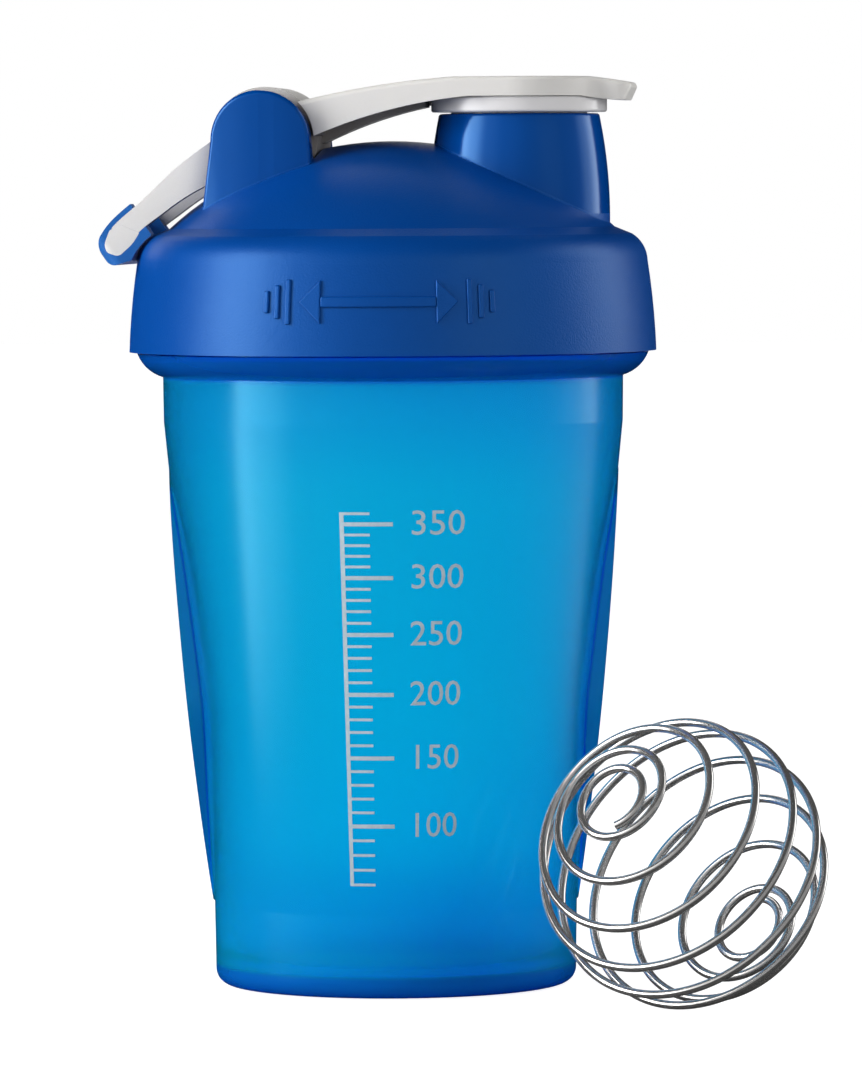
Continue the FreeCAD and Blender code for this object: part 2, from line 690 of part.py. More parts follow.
def whisk_ball():
    axis = Vector(ball_axis).normalize()
    side = Vector(0, 0, 1).cross(axis).normalize()
    other = axis.cross(side)
    run_r = ball_r - ball_wire_r
    turns = ball_turns + 2 * ball_ring_turn

    def ramp(t):
        return (t + math.hypot(t, ball_blend)) / 2

    def wire_point(t):
        done = (ramp(t - ball_ring_turn) - ramp(t - turns + ball_ring_turn)) / ball_turns
        tilt = math.radians(ball_pole + (180 - 2 * ball_pole) * done)
        spin = math.radians(ball_phase) + 2 * math.pi * t
        return (axis * math.cos(tilt) + side * (math.sin(tilt) * math.cos(spin))
                + other * (math.sin(tilt) * math.sin(spin))) * run_r

    def heading(t):
        return (wire_point(t + 1e-4) - wire_point(t - 1e-4)).normalize()

    spans = int(round(turns * ball_spans))
    stops = [turns * i / spans for i in range(spans + 1)]
    arcs = []
    for t0, t1 in zip(stops[:-1], stops[1:]):
        arcs += arc_pair(wire_point(t0), heading(t0), wire_point(t1), heading(t1))
    ball = wire_along(arcs, ball_wire_r)
    distance = cup_radius(2 * ball_r) + ball_gap + ball_r
    bearing = math.radians(ball_bearing)
    ball.translate(Vector(distance * math.cos(bearing), distance * math.sin(bearing), 0))
    ball.translate(Vector(0, 0, -ball.optimalBoundingBox(False).ZMin))
    return ball


def main():
    os.makedirs("parts", exist_ok=True)
    loop = carry_loop()
    nodes = {
        "cup": cup(),
        "lid_seal_ring": lid_seal_ring(),
        "lid": lid(),
        "flip_cap": flip_cap(),
        "spout_cover": spout_cover(),
        "carry_loop": loop,
        "loop_grip": loop_grip(loop),
        "whisk_ball": whisk_ball(),
    }
    for name, shape in nodes.items():
        print(name, "solids", len(shape.Solids), "valid", shape.isValid(),
              "volume", round(shape.Volume), "box", shape.BoundBox)
        shape.exportStep("parts/" + name + ".step")


main()
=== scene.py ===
import math

import bmesh
import bpy
from mathutils import Matrix, Vector
from mathutils.bvhtree import BVHTree


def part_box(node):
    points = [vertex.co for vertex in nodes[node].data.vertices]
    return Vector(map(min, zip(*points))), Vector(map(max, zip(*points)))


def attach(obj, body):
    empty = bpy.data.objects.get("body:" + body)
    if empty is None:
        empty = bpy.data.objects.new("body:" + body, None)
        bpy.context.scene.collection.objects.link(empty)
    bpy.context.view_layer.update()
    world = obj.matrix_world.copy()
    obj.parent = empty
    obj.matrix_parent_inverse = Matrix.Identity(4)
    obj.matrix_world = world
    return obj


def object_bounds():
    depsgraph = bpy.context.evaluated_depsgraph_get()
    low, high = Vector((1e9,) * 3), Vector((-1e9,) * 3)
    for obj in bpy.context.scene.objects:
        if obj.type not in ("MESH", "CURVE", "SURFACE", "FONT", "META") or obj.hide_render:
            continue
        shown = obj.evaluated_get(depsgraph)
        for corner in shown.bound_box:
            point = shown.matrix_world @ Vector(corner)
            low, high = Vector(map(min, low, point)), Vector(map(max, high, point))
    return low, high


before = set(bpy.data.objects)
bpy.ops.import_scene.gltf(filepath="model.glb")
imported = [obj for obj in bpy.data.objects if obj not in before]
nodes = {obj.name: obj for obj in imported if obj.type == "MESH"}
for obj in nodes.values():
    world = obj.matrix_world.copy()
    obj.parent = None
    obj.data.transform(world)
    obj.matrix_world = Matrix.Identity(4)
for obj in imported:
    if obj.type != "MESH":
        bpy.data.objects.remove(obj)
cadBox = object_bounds()
print("frame loaded:", ", ".join(sorted(nodes)))


# small helpers for the materials
def newMaterial(name):
    material = bpy.data.materials.new(name)
    material.use_nodes = True
    shader = material.node_tree.nodes["Principled BSDF"]
    return material, shader


def addNode(owner, kind, **values):
    # values are the node's own settings or, by name, its sockets; owner is a material or world
    node = owner.node_tree.nodes.new(kind)
    for name, value in values.items():
        if hasattr(node, name):
            setattr(node, name, value)
        else:
            node.inputs[name.replace("_", " ")].default_value = value
    return node


def link(owner, source, target):
    owner.node_tree.links.new(source, target)


def showSurface(owner, source):
    # the source becomes what the material or world shows
    output = next(n for n in owner.node_tree.nodes if n.type.startswith("OUTPUT"))
    link(owner, source, output.inputs["Surface"])


def rampOver(owner, source, stops):
    # colours that follow the source, which runs from 0 to 1, with eased steps between them
    ramp = addNode(owner, "ShaderNodeValToRGB")
    ramp.color_ramp.interpolation = "EASE"
    elements = ramp.color_ramp.elements
    while len(elements) < len(stops):
        elements.new(0.5)
    for element, (position, colour) in zip(elements, stops):
        element.position = position
        element.color = (*colour, 1)
    link(owner, source, ramp.inputs["Fac"])
    return ramp.outputs["Color"]


def seenDirectly(owner):
    # 1 where the camera sees it, straight or through gloss and clear plastic, 0 as light
    path = addNode(owner, "ShaderNodeLightPath")
    either = addNode(owner, "ShaderNodeMath", operation="MAXIMUM")
    most = addNode(owner, "ShaderNodeMath", operation="MAXIMUM")
    link(owner, path.outputs["Is Camera Ray"], either.inputs[0])
    link(owner, path.outputs["Is Transmission Ray"], either.inputs[1])
    link(owner, either.outputs[0], most.inputs[0])
    link(owner, path.outputs["Is Glossy Ray"], most.inputs[1])
    return most.outputs[0]


def chosen(owner, share, first, second):
    # the first shader where the share is 0, the second where it is 1
    mix = addNode(owner, "ShaderNodeMixShader")
    link(owner, share, mix.inputs["Fac"])
    link(owner, first, mix.inputs[1])
    link(owner, second, mix.inputs[2])
    return mix.outputs[0]


def mixedIn(material, mask, source, colour):
    # the colour where the mask is 1, the source where it is 0
    mix = addNode(material, "ShaderNodeMix", data_type="RGBA")
    link(material, mask, mix.inputs["Factor"])
    link(material, source, mix.inputs[6])
    mix.inputs[7].default_value = (*colour, 1)
    return mix.outputs[2]


def grainBump(material, shader, scale, depth):
    # fine moulded grain, read from the piece's own place so it stays put in every view
    place = addNode(material, "ShaderNodeTexCoord")
    noise = addNode(material, "ShaderNodeTexNoise", Scale=scale, Detail=3.0, Roughness=0.6)
    bump = addNode(material, "ShaderNodeBump", Strength=0.35, Distance=depth)
    link(material, place.outputs["Object"], noise.inputs["Vector"])
    link(material, noise.outputs["Fac"], bump.inputs["Height"])
    link(material, bump.outputs["Normal"], shader.inputs["Normal"])
    return bump


def mottledRoughness(material, shader, low, high, scale):
    # slow changes of gloss, as handling and the mould leave them
    place = addNode(material, "ShaderNodeTexCoord")
    noise = addNode(material, "ShaderNodeTexNoise", Scale=scale, Detail=4.0, Roughness=0.55)
    spread = addNode(material, "ShaderNodeMapRange", From_Min=0.3, From_Max=0.7,
                     To_Min=low, To_Max=high)
    link(material, place.outputs["Object"], noise.inputs["Vector"])
    link(material, noise.outputs["Fac"], spread.inputs["Value"])
    link(material, spread.outputs["Result"], shader.inputs["Roughness"])


def mottledColour(material, shader, dark, light, scale):
    # a very slight change of shade in the moulded colour
    place = addNode(material, "ShaderNodeTexCoord")
    noise = addNode(material, "ShaderNodeTexNoise", Scale=scale, Detail=2.0)
    ramp = addNode(material, "ShaderNodeValToRGB")
    ramp.color_ramp.elements[0].position = 0.3
    ramp.color_ramp.elements[0].color = (*dark, 1)
    ramp.color_ramp.elements[1].position = 0.7
    ramp.color_ramp.elements[1].color = (*light, 1)
    link(material, place.outputs["Object"], noise.inputs["Vector"])
    link(material, noise.outputs["Fac"], ramp.inputs["Fac"])
    link(material, ramp.outputs["Color"], shader.inputs["Base Color"])


def recessed(material, shader, colour, reach):
    # painted shade: the colour falls to a darker one in recesses and under ledges, where shade
    # falls
    closeness = addNode(material, "ShaderNodeAmbientOcclusion", samples=6, Distance=reach)
    spread = addNode(material, "ShaderNodeMapRange", From_Min=0.25, From_Max=0.8)
    mix = addNode(material, "ShaderNodeMix", data_type="RGBA")
    source = shader.inputs["Base Color"].links[0].from_socket
    link(material, closeness.outputs["AO"], spread.inputs["Value"])
    link(material, spread.outputs["Result"], mix.inputs["Factor"])
    mix.inputs[6].default_value = (*colour, 1)
    link(material, source, mix.inputs[7])
    link(material, mix.outputs[2], shader.inputs["Base Color"])


cupLook = {
    # height, the colour there, and the share of the light that passes into it: the rest scatters
    # at the surface.
    # The colour is partly the plastic's own and partly painted shade: the deep blue of the thick
    # foot and collar is both, and the darkening just under the collar and towards the foot is
    # painted shade
    "stops": [
        (0.0, (0.002, 0.25, 1.0), 0.58),
        (0.0035, (0.002, 0.27, 1.0), 0.60),
        (0.0048, (0.003, 0.72, 1.0), 0.74),
        (0.030, (0.005, 0.98, 0.95), 0.90),
        (0.055, (0.005, 1.0, 0.92), 0.93),
        (0.092, (0.005, 1.0, 0.92), 0.93),
        (0.1155, (0.005, 0.86, 0.92), 0.90),
        (0.1168, (0.002, 0.21, 0.90), 0.62),
    ],
    "roughness": 0.21,
    # the grip pads on the sides are thicker, so more light scatters in them
    "padColour": (0.004, 0.44, 0.78),
    "padShare": 0.55,
    "padHeights": (0.0165, 0.1),
    "padProud": (0.0002, 0.0007),  # how far out of the wall the pads' look begins and is full
    "wallFoot": 0.03322,           # the wall's radius at height 0, were its taper to go on
    "wallTaper": 0.0999,           # how much the radius grows with the height
    "shine": (0.18, 0.80, 1.0),
    "shineLevel": 0.85,
    "ior": 1.49,
    "absorbColour": (0.0, 0.27, 0.92),
    "absorbDensity": 330.0,        # per metre
}


def overHeight(material, stops):
    # a colour that changes slowly up the piece, through the listed heights; in the cup's colour
    # it carries painted shade besides the wall's own change
    place = addNode(material, "ShaderNodeTexCoord")
    split = addNode(material, "ShaderNodeSeparateXYZ")
    low, high = stops[0][0], stops[-1][0]
    share = addNode(material, "ShaderNodeMapRange", From_Min=low, From_Max=high)
    link(material, place.outputs["Object"], split.inputs["Vector"])
    link(material, split.outputs["Z"], share.inputs["Value"])
    return rampOver(material, share.outputs["Result"],
                    [((height - low) / (high - low), colour) for height, colour in stops])


def onPads(material, look):
    # 1 where the surface stands out from the tapered wall, 0 on the wall
    place = addNode(material, "ShaderNodeTexCoord")
    flat = addNode(material, "ShaderNodeVectorMath", operation="MULTIPLY")
    flat.inputs[1].default_value = (1, 1, 0)
    radius = addNode(material, "ShaderNodeVectorMath", operation="LENGTH")
    split = addNode(material, "ShaderNodeSeparateXYZ")
    wall = addNode(material, "ShaderNodeMath", operation="MULTIPLY_ADD")
    wall.inputs[1].default_value = look["wallTaper"]
    wall.inputs[2].default_value = look["wallFoot"]
    proud = addNode(material, "ShaderNodeMath", operation="SUBTRACT")
    share = addNode(material, "ShaderNodeMapRange", From_Min=look["padProud"][0],
                    From_Max=look["padProud"][1])
    link(material, place.outputs["Object"], flat.inputs[0])
    link(material, flat.outputs[0], radius.inputs[0])
    link(material, place.outputs["Object"], split.inputs["Vector"])
    link(material, split.outputs["Z"], wall.inputs[0])
    link(material, radius.outputs["Value"], proud.inputs[0])
    link(material, wall.outputs[0], proud.inputs[1])
    link(material, proud.outputs[0], share.inputs["Value"])
    mask = share.outputs["Result"]
    for operation, height in zip(("GREATER_THAN", "LESS_THAN"), look["padHeights"]):
        within = addNode(material, "ShaderNodeMath", operation=operation)
        within.inputs[1].default_value = height
        both = addNode(material, "ShaderNodeMath", operation="MULTIPLY")
        link(material, split.outputs["Z"], within.inputs[0])
        link(material, within.outputs[0], both.inputs[0])
        link(material, mask, both.inputs[1])
        mask = both.outputs[0]
    return mask


def makeCupPlastic():
    material, shader = newMaterial("translucentBlue")
    look = cupLook
    pads = onPads(material, look)
    coloursWithShade = [(height, colour) for height, colour, share in look["stops"]]
    shares = [(height, (share, share, share)) for height, colour, share in look["stops"]]
    # the colour by height holds painted shade: darker just under the collar and towards the foot,
    # and deep blue on the foot and collar, which is partly the thick plastic
    colour = mixedIn(material, pads, overHeight(material, coloursWithShade), look["padColour"])
    share = mixedIn(material, pads, overHeight(material, shares), (look["padShare"],) * 3)
    link(material, colour, shader.inputs["Base Color"])
    link(material, share, shader.inputs["Transmission Weight"])
    shader.inputs["IOR"].default_value = look["ior"]
    shader.inputs["Specular Tint"].default_value = (*look["shine"], 1)
    shader.inputs["Specular IOR Level"].default_value = look["shineLevel"]
    shader.inputs["Roughness"].default_value = look["roughness"]
    absorb = addNode(material, "ShaderNodeVolumeAbsorption",
                     Color=(*look["absorbColour"], 1), Density=look["absorbDensity"])
    output = material.node_tree.nodes["Material Output"]
    link(material, absorb.outputs["Volume"], output.inputs["Volume"])
    return material


lidLook = {
    "dark": (0.0, 0.051, 0.275),
    "light": (0.0, 0.058, 0.302),
    "roughness": 0.36,
    "glossRoughness": 0.13,       # ears and spout
    "shine": (0.21, 0.55, 1.0),
    "shineLevel": 0.9,
    "ior": 1.5,
    "domeCentre": (0.0, 0.0, 0.09826),
    "domeReach": 0.0636,          # from that centre to just over the dome
    "glossAbove": 0.1475,
    "mottle": 30.0,
    "grain": (2600.0, 0.0001),    # scale, depth in metres
    "grainStrength": (0.6, 0.05),  # on the satin skin and on the polished forms
}


def makeLidPlastic():
    material, shader = newMaterial("satinBlue")
    mottledColour(material, shader, lidLook["dark"], lidLook["light"], lidLook["mottle"])
    bump = grainBump(material, shader, *lidLook["grain"])
    # what stands up out of the dome is polished, and the rest has a fine grain
    place = addNode(material, "ShaderNodeTexCoord")
    reach = addNode(material, "ShaderNodeVectorMath", operation="DISTANCE")
    reach.inputs[1].default_value = lidLook["domeCentre"]
    over = addNode(material, "ShaderNodeMath", operation="GREATER_THAN")
    over.inputs[1].default_value = lidLook["domeReach"]
    split = addNode(material, "ShaderNodeSeparateXYZ")
    above = addNode(material, "ShaderNodeMath", operation="GREATER_THAN")
    above.inputs[1].default_value = lidLook["glossAbove"]
    polished = addNode(material, "ShaderNodeMath", operation="MULTIPLY")
    rough = addNode(material, "ShaderNodeMapRange", To_Min=lidLook["roughness"],
                    To_Max=lidLook["glossRoughness"])
    grain = addNode(material, "ShaderNodeMapRange", To_Min=lidLook["grainStrength"][0],
                    To_Max=lidLook["grainStrength"][1])
    link(material, place.outputs["Object"], reach.inputs[0])
    link(material, place.outputs["Object"], split.inputs["Vector"])
    link(material, reach.outputs["Value"], over.inputs[0])
    link(material, split.outputs["Z"], above.inputs[0])
    link(material, over.outputs[0], polished.inputs[0])
    link(material, above.outputs[0], polished.inputs[1])
    link(material, polished.outputs[0], rough.inputs["Value"])
    link(material, polished.outputs[0], grain.inputs["Value"])
    link(material, rough.outputs["Result"], shader.inputs["Roughness"])
    link(material, grain.outputs["Result"], bump.inputs["Strength"])
    shader.inputs["IOR"].default_value = lidLook["ior"]
    shader.inputs["Specular Tint"].default_value = (*lidLook["shine"], 1)
    shader.inputs["Specular IOR Level"].default_value = lidLook["shineLevel"]
    return material


def plainFinish(look):
    # a moulded or drawn finish: slow changes of shade and gloss, with fine grain where it has any
    material, shader = newMaterial(look["name"])
    mottledColour(material, shader, look["dark"], look["light"], look["mottle"])
    # painted shade in recesses and under ledges, where the look lists it
    if "recess" in look:
        recessed(material, shader, look["recess"], look["recessReach"])
    mottledRoughness(material, shader, *look["roughness"], look["handling"])
    if "grain" in look:
        grainBump(material, shader, *look["grain"])
    for socket, value in look.get("sockets", {}).items():
        shader.inputs[socket].default_value = value
    return material


# mottle and handling are scales, the grain is a scale and a depth in metres
whiteLook = {
    "name": "warmWhite",
    "dark": (0.75, 0.735, 0.71),
    "light": (0.79, 0.775, 0.75),
    "mottle": 40.0,
    # painted shade: the colour of recesses and the undersides of ledges, and how far it reaches
    "recess": (0.20, 0.185, 0.18),
    "recessReach": 0.016,
    "roughness": (0.42, 0.5),
    "handling": 150.0,
    "grain": (1300.0, 0.00005),
    "sockets": {"Subsurface Weight": 0.1, "Subsurface Radius": (0.002, 0.0018, 0.0015)},
}
coverLook = {
    "name": "glossWhite",
    "dark": (0.74, 0.73, 0.735),
    "light": (0.78, 0.77, 0.775),
    "mottle": 40.0,
    "roughness": (0.16, 0.24),
    "handling": 150.0,
    "grain": (900.0, 0.00002),
    "sockets": {"Coat Weight": 0.3, "Coat Roughness": 0.08},
}
sealLook = {
    "name": "clearSoftRubber",
    "dark": (0.52, 0.52, 0.5),
    "light": (0.6, 0.6, 0.58),
    "mottle": 60.0,
    "roughness": (0.45, 0.6),
    "handling": 200.0,
    "grain": (1800.0, 0.00003),
}
gripLook = {
    "name": "softBlue",
    "dark": (0.002, 0.105, 0.40),
    "light": (0.003, 0.125, 0.455),
    "mottle": 80.0,
    "roughness": (0.48, 0.6),
    "handling": 200.0,
    "grain": (2200.0, 0.00005),
    "sockets": {"Sheen Weight": 0.15, "Sheen Roughness": 0.4},
}
wireLook = {
    "name": "polishedWire",
    "dark": (0.7905, 0.77655, 0.7626),
    "light": (0.85, 0.835, 0.82),
    "mottle": 300.0,
    "roughness": (0.12, 0.17),
    "handling": 900.0,
    "sockets": {"Metallic": 0.87},
}
printLook = {
    "name": "silverPrint",
    "dark": (0.50, 0.62, 0.70),
    "light": (0.58, 0.70, 0.78),
    "mottle": 900.0,
    "roughness": (0.35, 0.5),
    "handling": 1200.0,
    "grain": (3000.0, 0.00002),
    "sockets": {"Metallic": 0.25},
}

materials = {
    "cup": makeCupPlastic(),
    "lid": makeLidPlastic(),
    "white": plainFinish(whiteLook),
    "cover": plainFinish(coverLook),
    "seal": plainFinish(sealLook),
    "grip": plainFinish(gripLook),
    "wire": plainFinish(wireLook),
    "print": plainFinish(printLook),
}
nodeMaterial = {
    "cup": "cup", "lid": "lid", "lid_seal_ring": "seal", "flip_cap": "white",
    "spout_cover": "cover", "carry_loop": "white", "loop_grip": "grip", "whisk_ball": "wire",
}
for nodeName, look in nodeMaterial.items():
    node = nodes[nodeName]
    node.data.materials.clear()
    node.data.materials.append(materials[look])
print("materials made")


# the measuring scale and the raised marks are wrapped on the walls that carry them
def wallOf(name):
    # finds the outer wall of a node: the place and direction straight out at an angle and height
    node = nodes[name]
    tree = BVHTree.FromPolygons([v.co for v in node.data.vertices],
                                [p.vertices for p in node.data.polygons])
    out = max(abs(c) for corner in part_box(name) for c in corner[:2]) * 2

    def find(angle, z):
        away = Vector((math.sin(angle), -math.cos(angle), 0))
        place = tree.ray_cast(away * out + Vector((0, 0, z)), -away)[0]
        return place, away
    return find


def wrapped(name, flat, wall, radius, look, material, body):
    # the flat mesh, x round the wall and z up it, is bent round the wall: y stands out
    # of the wall, and the piece's back is sunk into it
    turn = math.radians(look["turn"])
    for vertex in flat.verts:
        place, away = wall(turn + vertex.co.x / radius, vertex.co.z)
        vertex.co = place + away * (vertex.co.y - look["sunk"])
    bmesh.ops.recalc_face_normals(flat, faces=flat.faces)
    mesh = bpy.data.meshes.new(name)
    flat.to_mesh(mesh)
    flat.free()
    mesh.materials.append(material)
    piece = bpy.data.objects.new(name, mesh)
    bpy.context.collection.objects.link(piece)
    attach(piece, body)
    return piece


longestCut = 0.0012


def addSlab(flat, outline, thick):
    # a plate of the outline's shape, from the wall out to thick
    back = [flat.verts.new((x, 0, z)) for x, z in outline]
    front = [flat.verts.new((x, thick, z)) for x, z in outline]
    flat.faces.new(back)
    flat.faces.new(front[::-1])
    for i, vertex in enumerate(back):
        j = (i + 1) % len(back)
        flat.faces.new((vertex, front[i], front[j], back[j]))


def bar(x0, x1, z0, z1, thick, flat):
    # an upright or level bar, cut into short lengths that can follow a round wall
    count = max(1, math.ceil((x1 - x0) / longestCut))
    rows = []
    for i in range(count + 1):
        x = x0 + (x1 - x0) * i / count
        rows.append([flat.verts.new((x, y, z)) for y, z in
                     ((0, z0), (thick, z0), (thick, z1), (0, z1))])
    for a, b in zip(rows, rows[1:]):
        for i in range(4):
            j = (i + 1) % 4
            flat.faces.new((a[i], a[j], b[j], b[i]))
    flat.faces.new(rows[0])
    flat.faces.new(rows[-1][::-1])


def addFigures(flat, text, x, z, size, thick):
    # plain figures, their middle at x, z
    curve = bpy.data.curves.new("figures", "FONT")
    curve.body = text
    curve.size = size
    curve.align_x = "CENTER"
    curve.align_y = "CENTER"
    curve.resolution_u = 3
    curve.extrude = thick / 2
    holder = bpy.data.objects.new("figures", curve)
    bpy.context.collection.objects.link(holder)
    bpy.context.view_layer.update()
    mesh = bpy.data.meshes.new_from_object(holder)
    part = bmesh.new()
    part.from_mesh(mesh)
    bmesh.ops.transform(part, matrix=Matrix(((1, 0, 0, x), (0, 0, 1, thick / 2), (0, 1, 0, z),
                                             (0, 0, 0, 1))), verts=part.verts)
    part.to_mesh(mesh)
    part.free()
    flat.from_mesh(mesh)
    bpy.data.objects.remove(holder)
    bpy.data.curves.remove(curve)
    bpy.data.meshes.remove(mesh)


scale = {
    "turn": 6.0,             # degrees round the cup from straight ahead
    "left": -0.0085,
    "low": 0.019,            # heights that the marks stay between
    "high": 0.0935,
    "floor": 0.0040,         # the cup's floor and wall, inside which the drink stands
    "wall": 0.0020,
    "markStep": 10,          # millilitres
    "figureStep": 50,
    "short": 0.0045,
    "long": 0.0085,
    "line": 0.00075,
    "figures": 0.0066,       # size of the figures
    "figureGap": 0.0078,     # from a long mark to the middle of its figures
    "thick": 0.00012,
    "sunk": 0.00002,
}


def fillHeights(wall, turn):
    # how high each step of the scale stands in the tapered cup
    look = scale
    layer = 0.0001
    filled = 0.0
    height = look["floor"]
    marked = look["markStep"]
    while height < look["high"]:
        radius = wall(turn, height)[0].xy.length - look["wall"]
        filled += math.pi * radius ** 2 * layer * 1e6  # millilitres
        height += layer
        if filled >= marked:
            if height > look["low"]:
                yield marked, height
            marked += look["markStep"]


def addScale():
    look = scale
    wall = wallOf("cup")
    turn = math.radians(look["turn"])
    radius = wall(turn, (look["low"] + look["high"]) / 2)[0].xy.length
    flat = bmesh.new()
    left = look["left"]
    heights = list(fillHeights(wall, turn))
    for volume, z in heights:
        numbered = volume % look["figureStep"] == 0
        length, half = (look["long"], look["line"] / 2) if numbered \
            else (look["short"], look["line"] / 3)
        bar(left, left + length, z - half, z + half, look["thick"], flat)
        if numbered:
            addFigures(flat, str(volume), left + look["long"] + look["figureGap"], z,
                       look["figures"], look["thick"])
    bar(left - look["line"], left, heights[0][1] - look["line"] / 3,
        heights[-1][1] + look["line"] / 3, look["thick"], flat)
    wrapped("measuring_scale", flat, wall, radius, look, materials["print"],
            "cup")


marks = {
    "turn": 6.0,
    "middle": 0.1315,        # height of the middle of the marks
    "shift": -0.0025,
    "stand": 0.0006,         # how far they stand out of the band
    "sunk": 0.00005,
    "line": 0.0010,
    "arrowHalf": 0.0150,
    "arrowHead": 0.0042,
    "ticks": 3,              # on each side
    "tickGap": 0.0022,
    "tickShrink": 0.25,
    "softEdge": 0.00028,
    "softSteps": 3,
}


def addTurnMarks():
    # a plain double-headed turning arrow between tick marks, raised from the lid's band
    look = marks
    wall = wallOf("lid")
    turn = math.radians(look["turn"])
    radius = wall(turn, look["middle"])[0].xy.length
    flat = bmesh.new()
    z = look["middle"]
    middle = look["shift"]
    shaft = look["arrowHalf"] - look["arrowHead"]
    bar(middle - shaft, middle + shaft, z - look["line"], z + look["line"], look["stand"], flat)
    for side in (-1, 1):
        tip = middle + side * look["arrowHalf"]
        foot = middle + side * shaft
        outline = [(tip, z), (foot, z + look["arrowHead"]), (foot, z - look["arrowHead"])]
        addSlab(flat, outline, look["stand"])
        for i in range(look["ticks"]):
            x = middle + side * (look["arrowHalf"] + (i + 1) * look["tickGap"])
            half = look["arrowHead"] * (1 - look["tickShrink"] * i)
            bar(x - look["line"] / 2, x + look["line"] / 2, z - half, z + half,
                look["stand"], flat)
    piece = wrapped("turn_marks", flat, wall, radius, look, materials["lid"], "lid")
    soft = piece.modifiers.new("softEdges", "BEVEL")
    soft.width = look["softEdge"]
    soft.segments = look["softSteps"]
    soft.limit_method = "ANGLE"


loopEnds = {
    # the corners of the bare end, from the grip's lowest corner, and how round each one is
    "corners": [(0.0040, 0.0078, 0.0003), (0.0022, 0.0066, 0.0003), (0.0012, 0.0040, 0.0008),
                (0.0016, 0.0024, 0.0008), (0.0040, 0.0017, 0.0008), (0.0066, 0.0040, 0.0010),
                (0.0080, 0.0062, 0.0003)],
    "steps": 4,              # points in each rounded corner
    "cuts": 6,
    "proud": 0.00003,
    "thick": 0.0002,
}


def roundedOutline(corners, steps):
    # each corner is cut to a short round run of points
    points = []
    for i, (x, z, cut) in enumerate(corners):
        here = Vector((x, z))
        before = Vector(corners[i - 1][:2])
        after = Vector(corners[(i + 1) % len(corners)][:2])
        start = here + (before - here).normalized() * cut
        end = here + (after - here).normalized() * cut
        for step in range(steps + 1):
            t = step / steps
            points.append(start * (1 - t) ** 2 + here * 2 * t * (1 - t) + end * t ** 2)
    return points


def addLoopEnds():
    # the white ends of the loop's arms, which the soft grip leaves bare on both sides: a thin
    # skin laid on the rounded ends
    look = loopEnds
    low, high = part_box("loop_grip")
    both = bmesh.new()
    both.from_mesh(nodes["loop_grip"].data)
    both.from_mesh(nodes["carry_loop"].data)
    ends = BVHTree.FromBMesh(both)
    both.free()
    flat = bmesh.new()
    for side in (-1, 1):
        corners = [flat.verts.new((low.x + p.x, side * high.y * 2, low.z + p.y))
                   for p in roundedOutline(look["corners"], look["steps"])]
        flat.faces.new(corners[::side])
    bmesh.ops.triangulate(flat, faces=flat.faces)
    bmesh.ops.subdivide_edges(flat, edges=flat.edges, cuts=look["cuts"], use_grid_fill=True)
    for vertex in flat.verts:
        inward = Vector((0, -math.copysign(1, vertex.co.y), 0))
        place = ends.ray_cast(vertex.co, inward)[0]
        if place is None or abs(place.y) < high.y / 2:
            place = ends.find_nearest(Vector((vertex.co.x, -inward.y * high.y, vertex.co.z)))[0]
        vertex.co = place - inward * look["proud"]
    flat.normal_update()
    turned = [face for face in flat.faces if face.normal.y * face.calc_center_median().y < 0]
    bmesh.ops.reverse_faces(flat, faces=turned)
    mesh = bpy.data.meshes.new("loop_ends")
    flat.to_mesh(mesh)
    flat.free()
    mesh.materials.append(materials["white"])
    piece = bpy.data.objects.new("loop_ends", mesh)
    bpy.context.collection.objects.link(piece)
    skin = piece.modifiers.new("skin", "SOLIDIFY")
    skin.thickness = look["thick"]
    skin.offset = -1
    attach(piece, "loop")


addScale()
addTurnMarks()
addLoopEnds()
print("scale, turn marks and loop ends made")


camera = {
    "turn": 6.0,            # degrees to the right of straight ahead
    "tilt": 2.6,            # degrees down
    "roll": 0.3,
    "distance": 1.5,
    "lens": 261.0,
    "aimSide": 0.0071,      # the middle of the view, from the cup's axis
    "aimHeight": 0.0852,
    "sensor": 36,
    "near": 0.05,
    "far": 50,
}


def addCamera():
    turn = math.radians(camera["turn"])
    tilt = math.radians(camera["tilt"])
    side = Vector((math.cos(turn), math.sin(turn), 0))
    back = Vector((math.sin(turn) * math.cos(tilt), -math.cos(turn) * math.cos(tilt),
                   math.sin(tilt)))
    aim = side * camera["aimSide"] + Vector((0, 0, camera["aimHeight"]))
    data = bpy.data.cameras.new("camera")
    data.sensor_width = camera["sensor"]
    data.lens = camera["lens"]
    data.clip_start = camera["near"]
    data.clip_end = camera["far"]
    eye = bpy.data.objects.new("camera", data)
    eye.location = aim + back * camera["distance"]
    eye.rotation_euler = (-back).to_track_quat("-Z", "Y").to_euler()
    eye.rotation_euler.rotate_axis("Z", math.radians(-camera["roll"]))
    bpy.context.collection.objects.link(eye)
    bpy.context.scene.camera = eye


# turn is measured from the camera's side of the cup, to the right
lampAim = (0, 0, 0.1)
lights = [
    {"name": "leftBox", "turn": -73, "height": 0.25, "distance": 1.0, "size": (0.5, 1.2),
     "power": 18.0},
    {"name": "rightBox", "turn": 108, "height": 0.25, "distance": 1.1, "size": (0.5, 1.2),
     "power": 6.0},
    {"name": "frontFill", "turn": 42, "height": 0.5, "distance": 1.8, "size": (0.9, 0.9),
     "power": 10.5},
]


def addLight(look):
    turn = math.radians(camera["turn"] + look["turn"])
    data = bpy.data.lights.new(look["name"], "AREA")
    data.shape = "RECTANGLE"
    data.size, data.size_y = look["size"]
    data.energy = look["power"]
    lamp = bpy.data.objects.new(look["name"], data)
    lamp.location = (math.sin(turn) * look["distance"], -math.cos(turn) * look["distance"],
                     look["height"])
    aim = Vector(lampAim) - lamp.location
    lamp.rotation_euler = aim.to_track_quat("-Z", "Y").to_euler()
    lamp.visible_camera = False
    lamp.visible_transmission = False
    lamp.visible_glossy = False
    bpy.context.collection.objects.link(lamp)


